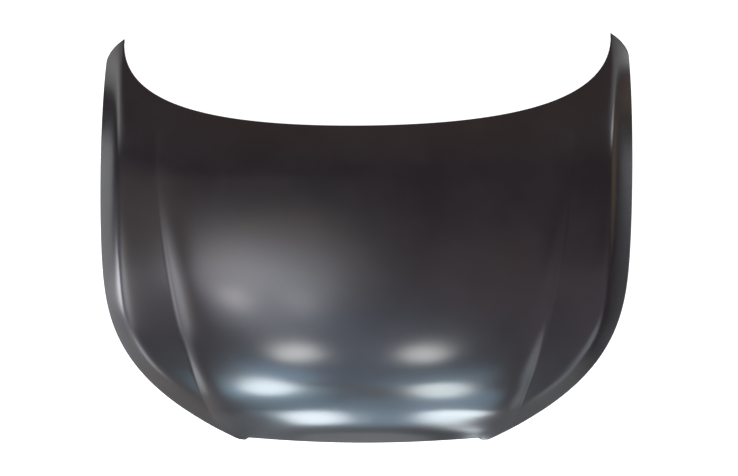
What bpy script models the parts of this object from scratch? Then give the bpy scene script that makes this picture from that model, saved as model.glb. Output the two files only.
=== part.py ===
"""Car bonnet: a hemmed steel skin on a stamped inner frame, with its hinge and latch hardware.

Lengths are in metres. +X runs across the panel and +Y from its front edge towards the windscreen.
The panel lies convex side up, on the corners of its front edge and of its two ears.
"""
import math

import bmesh
import bpy
import numpy as np
from mathutils import Matrix, Vector
from mathutils.geometry import delaunay_2d_cdt

# Plan outline
LENGTH = 1.160
CENTRE_LENGTH = 0.849
HALF_WIDTH = 0.750
FRONT_HALF = 0.328
FRONT_BOW = 0.0156
TOOTH_DEPTH = 0.0063
TOOTH_LENGTH = 0.028
TOOTH_SHARE = 0.90
TIP_INSET = 0.049
EAR_CUT = 0.073
LAMP_LENGTH = 0.474
LAMP_INSET = 0.037
CORNER_ANGLE = math.radians(23.8)
LAMP_ANGLE = math.radians(83.2)
EAR_ANGLE = math.radians(150)
TIP_ANGLE = math.radians(88)
CORNER_PULL = 0.361
LAMP_PULL_FRONT = 0.163
LAMP_PULL_REAR = 0.120
WIDEST_PULL = 0.160
EAR_PULL_LOW = 0.025
EAR_PULL_TIP = 0.034
TIP_PULL = 0.2585
REAR_PULL = 0.310

# Crown: three rises from the front edge, and the fall into the ears
FRONT_EDGE_HEIGHT = 0.004
LIP_SLOPE, LIP_REACH, LIP_SOFTNESS = 0.90, 0.030, 0.020
NOSE_SLOPE, NOSE_REACH, NOSE_SOFTNESS = 0.42, 0.130, 0.100
CROWN_RISE, CROWN_PEAK = 0.045, 0.620
CROWN_POWER = 2.2
EAR_FALL, EAR_FALL_START = 0.110, 0.690
SIDE_RISE = 0.047

# Shoulder crease along each side
SHOULDER_SLOPE, SHOULDER_FRONT_SLOPE, SHOULDER_EAR_SLOPE = 0.70, 0.21, 0.30
SHOULDER_WIDTH = 0.060
SHOULDER_CORNER_WIDTH = 0.038
SHOULDER_FRONT_WIDTH = 0.020
SHOULDER_SOFTNESS = 0.012

# Raised middle, bounded by a crease on each side
BULGE_RISE = 0.010
BULGE_RUN = 0.026
BULGE_BLEND = 0.150
BULGE_STARTS, BULGE_GROWS, CREASE_GROWS = 0.020, 0.100, 0.045
BULGE_ENDS, BULGE_FADES = 0.82, 0.50
CREASE_FRONT_OUTSET = 0.040
CREASE_REAR_INSET = 0.178
CREASE_ANGLE = math.radians(56)
CREASE_PULL_FRONT = 0.214
CREASE_PULL_REAR = 0.144

# Sheet and hem
SKIN_GAUGE = 0.0007
FRAME_GAUGE = 0.0007
CLEARANCE = 0.0003
HEM_GAP = 0.0007
HEM_WIDTH = 0.011
HEM_OPENS = 0.006
HEM_SHARE = 0.60

# Inner frame
FLANGE_WIDTH = 0.014
CHANNEL_WALL = 0.012
WALL_SHARE = 0.90
EAR_FREE = 0.125
CHANNEL_DEPTH = 0.021
FLOOR_GAP = 0.006
FRAME_BULGE_RUN = 0.080
LAND_DEPTH = 0.0045
POCKET_WALL = 0.008
LAND_WIDTH = 0.014
POCKET_CORNER = 0.30
WEB_EDGE = 0.075
POCKETS = (
    (0.040, 0.205, 0.220, 0.510),
    (0.260, 0.440, 0.220, 0.510),
    (0.505, 0.725, 0.240, 0.510),
    (0.040, 0.205, 0.570, 0.870),
    (0.260, 0.440, 0.570, 0.870),
    (0.505, 0.725, 0.570, 0.730),
)

# Pads pressed into the inner frame, and the plates on them
PAD_STEP = 0.0015
PAD_BORDER = 0.006
PLATE_INSET = 0.003
HINGE_INSET, HINGE_AHEAD = 0.160, 0.348
HINGE_PAD = (0.062, 0.104)
HINGE_HOLE_PITCH = 0.060
HINGE_PLATE_GAUGE = 0.0020
LATCH_Y = 0.125
LATCH_PAD = (0.096, 0.052)
LATCH_HOLE_PITCH = 0.060
LATCH_PLATE_GAUGE = 0.0015
PROP_X, PROP_Y = 0.300, 0.130
PROP_PAD = (0.050, 0.044)
PROP_HOLE = 0.012
PROP_PLATE_GAUGE = 0.0015
STOP_X, STOP_Y = 0.200, 0.115
STOP_PAD = 0.030

# Fasteners and striker
BOLT = 0.008
BOLT_HOLE = 0.0096
NUT_FLATS = 0.013
NUT_HEIGHT = 0.0065
HEAD_FLATS = 0.013
HEAD_HEIGHT = 0.0055
STRIKER_PLATE = (0.084, 0.036)
STRIKER_GAUGE = 0.003
STRIKER_WIRE = 0.008
STRIKER_SPAN = 0.030
STRIKER_DROP = 0.030
STRIKER_BEND = 0.010

# Anti-flutter mastic between the frame's lands and the skin
DAB_LENGTH = 0.024
DAB_WIDTH = 0.010
DAB_GAP = 0.0016

# Mesh density
BULGE_COLUMNS, SHOULDER_COLUMNS, EDGE_COLUMNS = 5, 3, 3
BULGE_LEVELS = 2.4
ROWS = 28
EAR_STEPS = 5
ROW_CROWDING = 0.55
CURVE_SAMPLES = 1200
CORNER_POINTS = 4
FOLD_STEPS = 3
POCKET_SIDE_POINTS = 3
HOLE_POINTS = 10
STOP_POINTS = 16

FRONT_Y = -LENGTH / 2
TIP_Y = LENGTH / 2
REAR_Y = FRONT_Y + CENTRE_LENGTH
NICK_Y = FRONT_Y + FRONT_BOW - TOOTH_DEPTH
TIP_HALF = HALF_WIDTH - TIP_INSET
CREASE_FRONT_HALF = FRONT_HALF + CREASE_FRONT_OUTSET
CREASE_REAR_HALF = HALF_WIDTH - CREASE_REAR_INSET
FOLD_RADIUS = (2 * SKIN_GAUGE + FRAME_GAUGE + 2 * HEM_GAP) / 2
FLANGE_DEPTH = SKIN_GAUGE + HEM_GAP
FRAME_EDGE = FOLD_RADIUS + HEM_GAP

# Levels of the inner frame's sheet
WEB, LAND, FLANGE = 0, 1, 2


def heading(angle):
    return np.array([math.cos(angle), math.sin(angle)])


def bezier(start, start_handle, end_handle, end):
    t = np.linspace(0, 1, CURVE_SAMPLES)[:, None]
    s = 1 - t
    return s ** 3 * start + 3 * s * s * t * start_handle + 3 * s * t * t * end_handle + t ** 3 * end


NICK = np.array([FRONT_HALF, NICK_Y])
LAMP = np.array([HALF_WIDTH - LAMP_INSET, NICK_Y + LAMP_LENGTH])
WIDEST = np.array([HALF_WIDTH, TIP_Y - EAR_CUT])
TIP = np.array([TIP_HALF, TIP_Y])
TIP_HANDLE = TIP - TIP_PULL * heading(TIP_ANGLE)
CENTRE_HANDLE = np.array([REAR_PULL, REAR_Y])


def side_curves():
    """The right-hand outline, and the smooth flank that it follows up to the ear."""
    lamp_side = bezier(NICK, NICK + CORNER_PULL * heading(CORNER_ANGLE),
                       LAMP - LAMP_PULL_FRONT * heading(LAMP_ANGLE), LAMP)
    wing_side = bezier(LAMP, LAMP + LAMP_PULL_REAR * heading(LAMP_ANGLE),
                       WIDEST - np.array([0, WIDEST_PULL]), WIDEST)
    ear = bezier(WIDEST, WIDEST + np.array([0, EAR_PULL_LOW]),
                 TIP - EAR_PULL_TIP * heading(EAR_ANGLE), TIP)
    before = NICK - FRONT_BOW * 3 * heading(CORNER_ANGLE)
    beyond = WIDEST + np.array([0, 2 * EAR_CUT])
    edge = np.vstack([lamp_side, wing_side[1:], ear[1:]])
    flank = np.vstack([before, lamp_side, wing_side[1:], beyond])
    return edge, flank


def crease_curve():
    start = np.array([CREASE_FRONT_HALF, NICK_Y])
    end = np.array([CREASE_REAR_HALF, REAR_Y])
    curve = bezier(start, start + CREASE_PULL_FRONT * heading(CREASE_ANGLE),
                   end - np.array([0, CREASE_PULL_REAR]), end)
    return np.vstack([start - FRONT_BOW * heading(CREASE_ANGLE), curve, [CREASE_REAR_HALF, TIP_Y]])


EDGE, FLANK = side_curves()
CREASE = crease_curve()


def across(curve, y):
    """Half width of a plan curve at y."""
    return np.interp(y, curve[:, 1], curve[:, 0])


def squareness(curve, y):
    """Cosine of the curve's lean from the Y axis."""
    lean = np.gradient(curve[:, 0], curve[:, 1])
    return 1 / np.sqrt(1 + np.interp(y, curve[:, 1], lean) ** 2)


def bend(distance, softness):
    """Zero before a corner and the distance past it, rounded over the softness."""
    return (distance + np.sqrt(distance ** 2 + softness ** 2)) / 2


def ease(t):
    t = np.clip(t, 0, 1)
    return t * t * (3 - 2 * t)


def side_share(y):
    """0 at the front corners and 1 at the ear tips."""
    return (y - NICK_Y) / (TIP_Y - NICK_Y)


def centre_height(y):
    d = y - FRONT_Y
    lip = LIP_SLOPE * (bend(LIP_REACH, LIP_SOFTNESS) - bend(LIP_REACH - d, LIP_SOFTNESS))
    nose = NOSE_SLOPE * (bend(NOSE_REACH, NOSE_SOFTNESS) - bend(NOSE_REACH - d, NOSE_SOFTNESS))
    crown = CROWN_RISE * (1 - (1 - d / CROWN_PEAK) ** 2)
    fall = EAR_FALL * ease((d - EAR_FALL_START) / (LENGTH - EAR_FALL_START))
    return FRONT_EDGE_HEIGHT + lip + nose + crown - fall


def shoulder_half(y):
    share = side_share(y)
    width = SHOULDER_FRONT_WIDTH + (SHOULDER_CORNER_WIDTH - SHOULDER_FRONT_WIDTH) * ease(share / 0.10)
    width = width + (SHOULDER_WIDTH - SHOULDER_CORNER_WIDTH) * ease((share - 0.16) / 0.24)
    width = width + (HALF_WIDTH - TIP_HALF - SHOULDER_WIDTH) * ease((share - 0.6) / 0.4)
    return across(FLANK, y) - width / squareness(FLANK, y)


def shoulder_drop(x, y):
    share = side_share(y)
    slope = SHOULDER_FRONT_SLOPE + (SHOULDER_SLOPE - SHOULDER_FRONT_SLOPE) * ease(share / 0.25)
    slope = slope + (SHOULDER_EAR_SLOPE - SHOULDER_SLOPE) * ease((share - 0.65) / 0.35)
    return slope * bend((x - shoulder_half(y)) * squareness(FLANK, y), SHOULDER_SOFTNESS)


def bulge(x, y, run):
    inside = np.maximum((across(CREASE, y) - x) * squareness(CREASE, y), 0)
    share = side_share(y)
    middle = ease((share - BULGE_STARTS) / BULGE_GROWS)
    step = ease((share - BULGE_STARTS) / CREASE_GROWS)
    shape = step * (1 - np.exp(-inside / run)) + (middle - step) * (1 - np.exp(-inside / BULGE_BLEND))
    return BULGE_RISE * ease((BULGE_ENDS - share) / BULGE_FADES) * shape


def height(x, y, run=BULGE_RUN):
    """Height of the outer surface; a longer run gives the softer form that the frame follows."""
    x = np.abs(x)
    side = across(FLANK, y)
    reach = (y - NICK_Y) / (WIDEST[1] - NICK_Y)
    edge = 4 * SIDE_RISE * reach * (1 - reach) + shoulder_drop(side, y)
    weight = (x / side) ** CROWN_POWER
    return centre_height(y) * (1 - weight) + edge * weight - shoulder_drop(x, y) + bulge(x, y, run)


def normal(x, y, run=BULGE_RUN):
    step = 0.0005
    slope_x = (height(x + step, y, run) - height(x - step, y, run)) / (2 * step)
    slope_y = (height(x, y + step, run) - height(x, y - step, run)) / (2 * step)
    up = np.stack([-slope_x, -slope_y, np.ones_like(slope_x)], axis=-1)
    return up / np.linalg.norm(up, axis=-1, keepdims=True)


def plan(u, v):
    """Plan point at u across (-1 to 1) and v along (0 at the front edge, 1 at the rear)."""
    t = 1 - np.abs(u)
    s = 1 - t
    rear_x = s ** 3 * TIP[0] + 3 * s * s * t * TIP_HANDLE[0] + 3 * s * t * t * CENTRE_HANDLE[0]
    rear_y = s ** 3 * TIP[1] + 3 * s * s * t * TIP_HANDLE[1] + (3 * s * t * t + t ** 3) * REAR_Y
    tooth = TOOTH_DEPTH * ease((np.abs(u) * FRONT_HALF - FRONT_HALF + TOOTH_LENGTH) / (TOOTH_LENGTH / 2))
    front_y = FRONT_Y + FRONT_BOW * u * u - tooth
    swell = across(EDGE, NICK_Y + (TIP_Y - NICK_Y) * v) - (1 - v) * FRONT_HALF - v * TIP_HALF
    x = (1 - v) * FRONT_HALF * u + v * np.sign(u) * rear_x + u * swell
    return x, (1 - v) * front_y + v * rear_y


def surface(u, v):
    x, y = plan(u, v)
    return np.stack([x, y, height(x, y)], axis=-1)


def spacing(u, v):
    """Distance across one unit of u, and across one unit of v, square to the panel's edges."""
    step = 0.001
    low_v, high_v = np.clip(v - step, 0, 1), np.clip(v + step, 0, 1)
    low_u, high_u = np.clip(u - step, -1, 1), np.clip(u + step, -1, 1)
    along_u = (surface(high_u, v) - surface(low_u, v)) / (high_u - low_u)[..., None]
    along_v = (surface(u, high_v) - surface(u, low_v)) / (high_v - low_v)[..., None]
    area = np.linalg.norm(np.cross(along_u, along_v), axis=-1)
    return area / np.linalg.norm(along_v, axis=-1), area / np.linalg.norm(along_u, axis=-1)


def crossing(curve_half, v):
    """u at which the rows v meet a plan curve, by halving."""
    low, high = np.full_like(v, 0.2), np.full_like(v, 1.0)
    for _ in range(30):
        middle = (low + high) / 2
        x, y = plan(middle, v)
        beyond = x > curve_half(y)
        low, high = np.where(beyond, low, middle), np.where(beyond, middle, high)
    return (low + high) / 2


def row_values():
    t = np.linspace(0, 1, ROWS + 1)
    return t - ROW_CROWDING * np.sin(2 * math.pi * t) / (2 * math.pi)


def column_values(v):
    """u of every column in the rows v, with a column on each crease and two a little inboard of the bulge's."""
    crease = np.minimum(crossing(lambda y: across(CREASE, y), v), 1 - TOOTH_LENGTH / FRONT_HALF)
    inboard = crossing(lambda y: across(CREASE, y) - BULGE_RUN / squareness(CREASE, y), v)
    inboard = np.minimum(inboard, crease - 0.02)
    level = crossing(lambda y: across(CREASE, y) - BULGE_LEVELS * BULGE_RUN / squareness(CREASE, y), v)
    level = np.minimum(level, inboard - 0.02)
    shoulder = np.clip(crossing(shoulder_half, v), crease + 0.02, 0.985)
    knots = np.cumsum([0, BULGE_COLUMNS, 1, 1, SHOULDER_COLUMNS, EDGE_COLUMNS])
    index = np.arange(knots[-1] + 1)
    half = np.array([np.interp(index, knots, [0, *at, 1]) for at in zip(level, inboard, crease, shoulder)])
    return np.hstack([-half[:, :0:-1], half])


def outline_stations():
    """(u, v) of the outline at every column and row, anticlockwise from the left front corner."""
    v = row_values()
    u = column_values(v)
    front = [(a, 0.0) for a in u[0]]
    right = [(1.0, b) for b in v[1:-1]]
    rear = [(a, 1.0) for a in u[-1][::-1]]
    left = [(-1.0, b) for b in v[-2:0:-1]]
    stations = np.array(front + right + rear + left)
    return stations[:, 0], stations[:, 1]


class Ring:
    """A closed anticlockwise plan outline that can be stepped inboard."""

    def __init__(self, points, apart=0.0):
        """Room is each point's largest circle inside, counting only outline further off than `apart`."""
        self.points = points
        after = np.roll(points, -1, axis=0) - points
        after = after / np.linalg.norm(after, axis=1, keepdims=True)
        inward = np.stack([-after[:, 1], after[:, 0]], axis=1)
        before = np.roll(inward, 1, axis=0)
        turn = (inward * before).sum(axis=1, keepdims=True)
        self.mitre = (inward + before) / (1 + turn)
        self.inward = self.mitre / np.linalg.norm(self.mitre, axis=1, keepdims=True)
        gaps = points[None] - points[:, None]
        lead = (gaps * self.inward[:, None]).sum(axis=2)
        square = (gaps ** 2).sum(axis=2)
        opposite = (lead > 1e-6) & (square > apart ** 2)
        self.room = np.where(opposite, square / np.maximum(2 * lead, 1e-6), np.inf).min(axis=1)

    def stepped(self, width):
        """Plan points a width inboard, measured over the surface."""
        x, y = self.points[:, 0], self.points[:, 1]
        up = normal(x, y)
        fall = (up[:, :2] * self.inward).sum(axis=1) / up[:, 2]
        moved = self.points + self.mitre * (width / np.sqrt(1 + fall ** 2))[:, None]
        return moved[:, 0], moved[:, 1]


def under(x, y, depth, run=BULGE_RUN):
    """Points that lie a depth below the outer surface, square to it."""
    x, y = np.asarray(x, float), np.asarray(y, float)
    point = np.stack([x, y, height(x, y, run)], axis=-1)
    return point - normal(x, y, run) * np.asarray(depth)[..., None]


OUTLINE = Ring(np.stack(plan(*outline_stations()), axis=1))


def hem_rows():
    """Rows of the folded edge, from the skin's rim round the fold to the end of the return flange.

    Near the ear tips there is no room for the return, so the hem opens to a short flange there.
    """
    closed = ease((OUTLINE.room - HEM_OPENS) / HEM_OPENS)
    fold = math.pi / 2 * (1 + closed)
    length = np.minimum(HEM_WIDTH, HEM_SHARE * OUTLINE.room) - FOLD_RADIUS
    length = np.maximum(length * closed, 2 * FOLD_RADIUS)
    turns = [fold * k / FOLD_STEPS for k in range(FOLD_STEPS + 1)]
    rows = [(FOLD_RADIUS * (1 - np.sin(turn)), FOLD_RADIUS * (1 - np.cos(turn))) for turn in turns]
    width, depth = rows[-1]
    rows.append((width - length * np.cos(fold), depth + length * np.sin(fold)))
    return [under(*OUTLINE.stepped(width), depth) for width, depth in rows]


REST_LIFT = -min(row[:, 2].min() for row in hem_rows())


def seat(x, y, depth):
    """Frame on the inner panel's surface: Z up along its normal and X across the panel."""
    across_, along = np.array(x, float), np.array(y, float)
    up = Vector(normal(across_, along, FRAME_BULGE_RUN))
    origin = Vector(under(across_, along, np.array(depth), FRAME_BULGE_RUN))
    side = Vector((1, 0, 0))
    side = (side - side.dot(up) * up).normalized()
    matrix = Matrix((side, up.cross(side), up)).transposed().to_4x4()
    matrix.translation = origin + Vector((0, 0, REST_LIFT))
    return matrix


def channel_depth(x, y):
    """Depth of the frame's web, which rises towards the low corners to stay off the floor."""
    room = np.maximum(height(x, y, FRAME_BULGE_RUN) + REST_LIFT - FLOOR_GAP, 0)
    return CHANNEL_DEPTH * (1 - np.exp(-room / CHANNEL_DEPTH))


def material(name, colour, roughness, metallic=0.0):
    made = bpy.data.materials.new(name)
    made.use_nodes = True
    shader = made.node_tree.nodes["Principled BSDF"]
    shader.inputs["Base Color"].default_value = (*colour, 1)
    shader.inputs["Roughness"].default_value = roughness
    shader.inputs["Metallic"].default_value = metallic
    return made


def add_object(name, bm, finish, smooth=True):
    mesh = bpy.data.meshes.new(name)
    bm.normal_update()
    bm.to_mesh(mesh)
    bm.free()
    mesh.materials.append(finish)
    if smooth:
        mesh.shade_smooth()
        mesh.set_sharp_from_angle(angle=math.radians(30))
    made = bpy.data.objects.new(name, mesh)
    bpy.context.collection.objects.link(made)
    return made


def add_sheet(name, bm, gauge, finish):
    """A pressed sheet of the given gauge below the drawn surface."""
    bmesh.ops.triangulate(bm, faces=bm.faces, quad_method="SHORT_EDGE")
    sheet = add_object(name, bm, finish).modifiers.new("Gauge", "SOLIDIFY")
    sheet.thickness = gauge
    sheet.offset = -1


def add_loop(bm, points):
    verts = [bm.verts.new(point) for point in points]
    edges = [bm.edges.new((verts[i - 1], verts[i])) for i in range(len(verts))]
    return verts, edges


def join_loops(bm, outer, inner):
    for i in range(len(outer)):
        bm.faces.new((outer[i - 1], outer[i], inner[i], inner[i - 1]))


def lifted(points):
    return points + np.array([0, 0, REST_LIFT])


def outer_skin(finish):
    """Crowned skin whose edge is folded under into a hem."""
    bm = bmesh.new()
    v = row_values()
    u = column_values(v)
    columns = u.shape[1]
    bmesh.ops.create_grid(bm, x_segments=columns - 1, y_segments=ROWS, size=1)
    bm.verts.ensure_lookup_table()
    place = {}
    for vert in bm.verts:
        i = round((vert.co.x + 1) / 2 * (columns - 1))
        j = round((vert.co.y + 1) / 2 * ROWS)
        place[vert] = (u[j, i], v[j])
        if 0 < i < columns - 1 and 0 < j < ROWS:
            vert.co = lifted(surface(np.array(u[j, i]), np.array(v[j])))
    border_u, border_v = outline_stations()
    border = {(round(a, 6), round(b, 6)): n for n, (a, b) in enumerate(zip(border_u, border_v))}
    first, *rows = [lifted(row) for row in hem_rows()]
    loop = [None] * len(first)
    for vert, (a, b) in place.items():
        n = border.get((round(a, 6), round(b, 6)))
        if n is not None and vert.is_boundary:
            vert.co = first[n]
            loop[n] = vert
    for points in rows:
        row, _ = add_loop(bm, points)
        join_loops(bm, row, loop)
        loop = row
    bmesh.ops.recalc_face_normals(bm, faces=bm.faces)
    top = max(bm.faces, key=lambda face: face.calc_center_median().z)
    if top.normal.z < 0:
        bmesh.ops.reverse_faces(bm, faces=bm.faces)
    add_sheet("outer_skin", bm, SKIN_GAUGE, finish)


def rounded(half_x, half_y, corner, side_points=0):
    """Points of a rounded rectangle about the origin, anticlockwise, with more along its two sides."""
    points = []
    for quarter, (sx, sy) in enumerate(((1, 1), (-1, 1), (-1, -1), (1, -1))):
        for k in range(CORNER_POINTS):
            angle = math.pi / 2 * (quarter + k / (CORNER_POINTS - 1))
            points.append((sx * (half_x - corner) + corner * math.cos(angle),
                           sy * (half_y - corner) + corner * math.sin(angle)))
        if sx * sy < 0:
            points += [(sx * half_x, sx * half_y_at) for half_y_at in
                       np.linspace(corner - half_y, half_y - corner, side_points + 2)[1:-1]]
    return points


def distance_to_edges(points, drawn, edges):
    """Distance from each point to the nearest drawn edge."""
    starts, ends = drawn[[a for a, _ in edges]], drawn[[b for _, b in edges]]
    runs = ends - starts
    gaps = points[:, None] - starts
    t = np.clip((gaps * runs).sum(axis=-1) / (runs * runs).sum(axis=-1), 0, 1)
    return np.linalg.norm(gaps - t[..., None] * runs, axis=-1).min(axis=1)


def pocket_loop(u0, u1, v0, v1, trim):
    """Plan points of one pocket's outline, trimmed all round by a length."""
    middle_u, middle_v = np.array((u0 + u1) / 2), np.array((v0 + v1) / 2)
    unit_u, unit_v = spacing(middle_u, middle_v)
    half_x, half_y = (u1 - u0) / 2 * unit_u - trim, (v1 - v0) / 2 * unit_v - trim
    corner = POCKET_CORNER * ((u1 - u0) / 2 * unit_u) - trim / 2
    shape = np.array(rounded(half_x, half_y, corner, POCKET_SIDE_POINTS))
    return plan(middle_u + shape[:, 0] / unit_u, middle_v + shape[:, 1] / unit_v)


def frame_ring():
    """The outline as the inner frame follows it: without the teeth, and cut across the ears."""
    x, y = OUTLINE.points.T
    in_tooth = (np.abs(x) > FRONT_HALF - TOOTH_SHARE * TOOTH_LENGTH) & (np.abs(x) < FRONT_HALF - CLEARANCE)
    in_tooth &= y < FRONT_Y + FRONT_BOW
    points = OUTLINE.points[(y < TIP_Y - EAR_FREE) & ~in_tooth]
    rows = []
    for point, following in zip(points, np.roll(points, -1, axis=0)):
        rows.append(point)
        if y.max() - EAR_FREE - point[1] < EAR_FREE and abs(following[0] - point[0]) > EAR_FREE / 3:
            between = [point + (following - point) * k / EAR_STEPS for k in range(1, EAR_STEPS)]
            rows += [p for p in between if abs(p[0]) < HALF_WIDTH - FLANGE_WIDTH - CHANNEL_WALL]
    return Ring(np.array(rows), EAR_FREE / 2)


class Blank:
    """The inner frame's sheet, drawn flat in plan before it is pressed to shape."""

    def __init__(self):
        self.bm = bmesh.new()
        self.depth = self.bm.verts.layers.float.new("depth")
        self.seat = self.bm.verts.layers.int.new("seat")
        self.seats = [None]
        self.web_loops = []
        self.between = {}

    def loop(self, x, y, depth=WEB):
        verts, edges = add_loop(self.bm, [(a, b, 0) for a, b in zip(x, y)])
        for vert in verts:
            vert[self.depth] = depth
        return verts, edges

    def border(self):
        ring = frame_ring()
        edge, _ = self.loop(*ring.stepped(FRAME_EDGE), FLANGE)
        flange, _ = self.loop(*ring.stepped(np.minimum(FLANGE_WIDTH, HEM_SHARE * ring.room)), FLANGE)
        wall = np.minimum(FLANGE_WIDTH + CHANNEL_WALL, WALL_SHARE * ring.room)
        foot, _ = self.loop(*ring.stepped(wall))
        join_loops(self.bm, edge, flange)
        join_loops(self.bm, flange, foot)
        self.web_loops.append(foot)

    def pocket(self, bounds):
        foot, _ = self.loop(*pocket_loop(*bounds, 0))
        top, _ = self.loop(*pocket_loop(*bounds, POCKET_WALL), LAND)
        lip, _ = self.loop(*pocket_loop(*bounds, POCKET_WALL + LAND_WIDTH), LAND)
        join_loops(self.bm, foot, top)
        join_loops(self.bm, top, lip)
        self.web_loops.append(foot)

    def flat_loop(self, frame, x, y, shape):
        """A loop pressed flat in the pad's own plane, drawn at its plan place."""
        verts, edges = self.loop([x + p[0] for p in shape], [y + p[1] for p in shape], LAND)
        for vert, point in zip(verts, shape):
            vert[self.seat] = len(self.seats)
            self.seats.append(frame @ Vector((*point, 0)))
        return verts, edges

    def pad(self, x, y, shape, rim_shape, holes):
        frame = pad_frame(x, y)
        rim, _ = self.loop([x + p[0] for p in rim_shape], [y + p[1] for p in rim_shape])
        self.web_loops.append(rim)
        face, edges = self.flat_loop(frame, x, y, shape)
        join_loops(self.bm, rim, face)
        for hx, hy, diameter in holes:
            circle = [(hx + px, hy + py) for px, py in circle_points(diameter)]
            edges = edges + self.flat_loop(frame, x, y, circle)[1]
        bmesh.ops.triangle_fill(self.bm, use_beauty=True, edges=edges, normal=(0, 0, 1))

    def web(self):
        """Fill between the border, pockets and pads, with points between them so that the web can curve."""
        verts = [vert for loop in self.web_loops for vert in loop]
        ends = np.cumsum([0] + [len(loop) for loop in self.web_loops])
        rings = [list(range(a, b)) for a, b in zip(ends, ends[1:])]
        edges = [(ring[i - 1], ring[i]) for ring in rings for i in range(len(ring))]
        drawn = np.array([vert.co.xy for vert in verts])
        ticks = np.arange(-HALF_WIDTH, HALF_WIDTH, WEB_EDGE) + WEB_EDGE / 2
        spare = np.array([(a, b) for a in ticks for b in ticks])
        spare = spare[distance_to_edges(spare, drawn, edges) > WEB_EDGE / 2]
        points = [Vector(point) for point in np.vstack([drawn, spare])]
        found, _, faces, origin, _, within = delaunay_2d_cdt(points, edges, rings, 1, CLEARANCE / 10, True)
        for corners, rings_round in zip(faces, within):
            if list(rings_round) == [0]:
                self.bm.faces.new([self.web_vert(verts, found[i], origin[i]) for i in corners])

    def web_vert(self, verts, point, origin):
        """The drawn vertex that a point came from, or a new one where it lies between the loops."""
        if origin and origin[0] < len(verts):
            return verts[origin[0]]
        key = tuple(point)
        if key not in self.between:
            self.between[key] = self.bm.verts.new((*point, 0))
        return self.between[key]

    def press(self):
        for face in self.bm.faces:
            face.normal_update()
            if face.normal.z < 0:
                face.normal_flip()
        verts = list(self.bm.verts)
        x, y = np.array([vert.co.x for vert in verts]), np.array([vert.co.y for vert in verts])
        kind = np.array([vert[self.depth] for vert in verts])
        depth = np.choose(kind.astype(int), [channel_depth(x, y), np.full_like(x, LAND_DEPTH),
                                             np.full_like(x, FLANGE_DEPTH)])
        flange = (kind == FLANGE)[:, None]
        points = lifted(np.where(flange, under(x, y, depth), under(x, y, depth, FRAME_BULGE_RUN)))
        for vert, point in zip(verts, points):
            vert.co = self.seats[vert[self.seat]] or point


def circle_points(diameter, count=HOLE_POINTS):
    return [(diameter / 2 * math.cos(2 * math.pi * k / count), diameter / 2 * math.sin(2 * math.pi * k / count))
            for k in range(count)]


def pad_frame(x, y):
    return seat(x, y, channel_depth(x, y) + PAD_STEP)


def pad_shapes(size):
    flat = rounded(size[0] / 2, size[1] / 2, PAD_BORDER)
    rim = rounded(size[0] / 2 + PAD_BORDER, size[1] / 2 + PAD_BORDER, 2 * PAD_BORDER)
    return flat, rim


def latch_place():
    return 0.0, FRONT_Y + LATCH_Y


def prop_place():
    return -PROP_X, FRONT_Y + PROP_Y


def hinge_place(side):
    return side * (HALF_WIDTH - HINGE_INSET), TIP_Y - HINGE_AHEAD


def pair(pitch, along_y):
    return [(0, s * pitch / 2) if along_y else (s * pitch / 2, 0) for s in (-1, 1)]


def inner_frame(finish):
    """Stamped frame: hem flange, channel all round, ribs between pockets, and seats for the hardware."""
    blank = Blank()
    blank.border()
    for u0, u1, v0, v1 in POCKETS:
        blank.pocket((u0, u1, v0, v1))
        blank.pocket((-u1, -u0, v0, v1))
    for side in (-1, 1):
        holes = [(hx, hy, BOLT_HOLE) for hx, hy in pair(HINGE_HOLE_PITCH, True)]
        blank.pad(*hinge_place(side), *pad_shapes(HINGE_PAD), holes)
        stop = [circle_points(size, STOP_POINTS) for size in (STOP_PAD, STOP_PAD + 2 * PAD_BORDER)]
        blank.pad(side * STOP_X, FRONT_Y + STOP_Y, *stop, [])
    blank.pad(*latch_place(), *pad_shapes(LATCH_PAD), [(*p, BOLT_HOLE) for p in pair(LATCH_HOLE_PITCH, False)])
    blank.pad(*prop_place(), *pad_shapes(PROP_PAD), [(0, 0, PROP_HOLE)])
    blank.web()
    blank.press()
    add_sheet("inner_frame", blank.bm, FRAME_GAUGE, finish)


def plate(name, frame, size, gauge, lift, holes, finish):
    """Flat plate with rounded corners and drilled holes, its underside a lift above the frame's plane."""
    bm = bmesh.new()
    _, edges = add_loop(bm, [(*p, 0) for p in rounded(size[0] / 2, size[1] / 2, PAD_BORDER)])
    for hx, hy, diameter in holes:
        edges += add_loop(bm, [(hx + px, hy + py, 0) for px, py in circle_points(diameter)])[1]
    faces = [part for part in bmesh.ops.triangle_fill(bm, use_beauty=True, edges=edges, normal=(0, 0, 1))["geom"]
             if isinstance(part, bmesh.types.BMFace)]
    grown = bmesh.ops.extrude_face_region(bm, geom=faces)["geom"]
    bmesh.ops.translate(bm, vec=(0, 0, gauge), verts=[part for part in grown if isinstance(part, bmesh.types.BMVert)])
    bmesh.ops.recalc_face_normals(bm, faces=bm.faces)
    bmesh.ops.transform(bm, matrix=frame @ Matrix.Translation((0, 0, lift)), verts=bm.verts)
    return add_object(name, bm, finish)


def pierced(name, bm, frame, finish):
    bmesh.ops.recalc_face_normals(bm, faces=bm.faces)
    bmesh.ops.transform(bm, matrix=frame, verts=bm.verts)
    return add_object(name, bm, finish)


def hexagon(flats):
    return [(flats / math.sqrt(3) * math.cos(math.radians(60 * k)), flats / math.sqrt(3) * math.sin(math.radians(60 * k)))
            for k in range(6)]


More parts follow.
